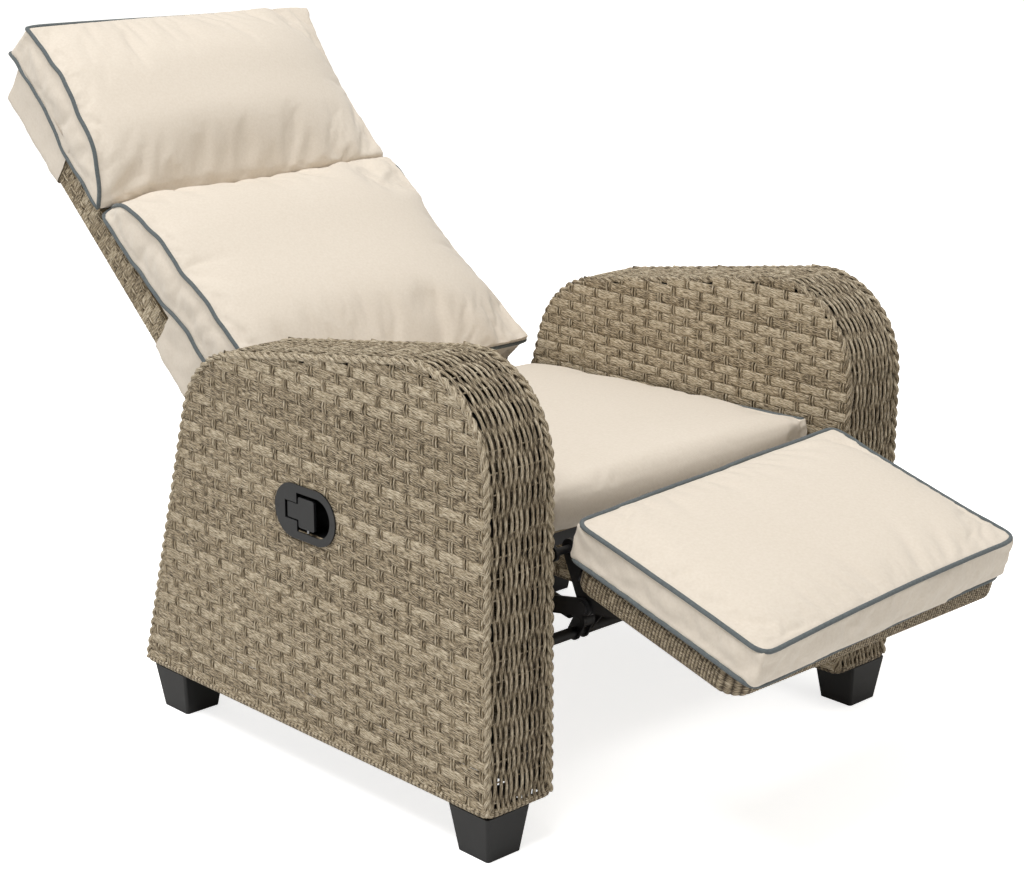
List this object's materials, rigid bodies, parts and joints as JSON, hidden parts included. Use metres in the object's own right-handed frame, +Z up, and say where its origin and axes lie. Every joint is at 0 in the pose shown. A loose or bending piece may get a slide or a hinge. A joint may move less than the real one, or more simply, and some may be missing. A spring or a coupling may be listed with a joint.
{
  "type": "reclining garden armchair",
  "caption": "Woven garden armchair that lies back while its padded footrest rises, with deep arm boxes on tapered feet and a pull handle set in one arm.",
  "frame": {"origin": "on the floor, under the middle of the bounding box of the chair as stored, laid back", "axes": "+X to the sitter's left, +Y towards the back, +Z up"},
  "size_m": [0.7794, 1.524, 0.9238],
  "materials": {
    "resin_weave": "rough extruded fibre strip with a bark-like streak",
    "cushion_cloth": "plain weave outdoor cloth",
    "black_steel": "satin powder coat",
    "plated_steel": "zinc plated, dull",
    "foot_plastic": "moulded, fine grain",
    "handle_plastic": "moulded, satin"
  },
  "bodies": {
    "base": {"left_arm_frame": "black_steel", "right_arm_frame": "black_steel", "left_arm_inner_panel": "resin_weave", "right_arm_inner_panel": "resin_weave", "left_arm_outer_panel": "resin_weave", "right_arm_outer_panel": "resin_weave", "left_arm_band": "resin_weave", "right_arm_band": "resin_weave", "left_arm_braids": "resin_weave", "right_arm_braids": "resin_weave", "left_front_foot": "foot_plastic", "right_front_foot": "foot_plastic", "left_rear_foot": "foot_plastic", "right_rear_foot": "foot_plastic", "foot_bolts": "plated_steel", "left_seat_side_rail": "black_steel", "right_seat_side_rail": "black_steel", "seat_front_rail": "black_steel", "seat_rear_rail": "black_steel", "seat_deck": "resin_weave", "seat_cushion": "cushion_cloth", "front_stretcher": "black_steel", "rear_stretcher": "black_steel", "frame_bolts": "plated_steel", "left_footrest_hinge_plate": "black_steel", "right_footrest_hinge_plate": "black_steel", "left_back_pivot_plate": "black_steel", "right_back_pivot_plate": "black_steel", "hinge_pins": "plated_steel", "strut_cylinder": "black_steel", "handle_housing": "handle_plastic", "handle_retainer": "handle_plastic", "handle_screws": "plated_steel", "handle_pin": "plated_steel", "handle_spring": "plated_steel", "handle_gland": "handle_plastic"},
    "backrest": {"back_frame": "black_steel", "back_front_panel": "resin_weave", "back_weave": "resin_weave", "back_lower_cushion": "cushion_cloth", "back_pillow": "cushion_cloth", "back_hood": "cushion_cloth", "back_sleeve": "cushion_cloth", "left_back_lever": "black_steel", "right_back_lever": "black_steel", "lever_cross_tube": "black_steel"},
    "footrest": {"footrest_frame": "black_steel", "footrest_wrap": "resin_weave", "footrest_deck": "resin_weave", "footrest_cushion": "cushion_cloth", "left_footrest_lug": "black_steel", "right_footrest_lug": "black_steel"},
    "left_link_bar": {"left_link": "black_steel", "left_link_pins": "plated_steel"},
    "right_link_bar": {"right_link": "black_steel", "right_link_pins": "plated_steel"},
    "strut_piston": {"strut_rod": "plated_steel"},
    "release_arm": {"strut_release_arm": "black_steel"},
    "paddle": {"handle_paddle": "handle_plastic", "paddle_stud": "plated_steel"}
  },
  "joints": [
    {"name": "backrest_recline", "type": "hinge", "parent": "base", "child": "backrest", "pos_m": [0, 0.19207, 0.347], "axis": [1, 0, 0], "range_deg": [0, 30]},
    {"name": "footrest_fold", "type": "hinge", "parent": "base", "child": "footrest", "pos_m": [0, -0.43393, 0.372], "axis": [1, 0, 0], "range_deg": [0, 70.01]},
    {"name": "left_link_swing", "type": "hinge", "parent": "footrest", "child": "left_link_bar", "pos_m": [0.2435, -0.46393, 0.305], "axis": [1, 0, 0], "range_deg": [-70.01, 0]},
    {"name": "right_link_swing", "type": "hinge", "parent": "footrest", "child": "right_link_bar", "pos_m": [-0.2435, -0.46393, 0.305], "axis": [1, 0, 0], "range_deg": [-70.01, 0]},
    {"name": "strut_stroke", "type": "slide", "parent": "base", "child": "strut_piston", "axis": [0, 0.982, 0.1891], "range_m": [0, 0.05704]},
    {"name": "paddle_pull", "type": "hinge", "parent": "base", "child": "paddle", "pos_m": [-0.3826, -0.07493, 0.37], "axis": [0, 0, -1], "range_deg": [0, 28], "stiffness_Nm_per_rad": 0.4, "springref_deg": -8.59},
    {"name": "release_arm_turn", "type": "hinge", "parent": "base", "child": "release_arm", "pos_m": [0, -0.22293, 0.15888], "axis": [1, 0, 0], "range_deg": [0, 14]}
  ],
  "couplings": [
    {"joint": "footrest_fold", "follows": "backrest_recline", "ratio": 2.3333},
    {"joint": "left_link_swing", "follows": "backrest_recline", "ratio": -2.3333},
    {"joint": "right_link_swing", "follows": "backrest_recline", "ratio": -2.3333},
    {"joint": "strut_stroke", "follows": "backrest_recline", "m_per_rad": 0.10875},
    {"joint": "release_arm_turn", "follows": "paddle_pull", "ratio": 0.5}
  ]
}
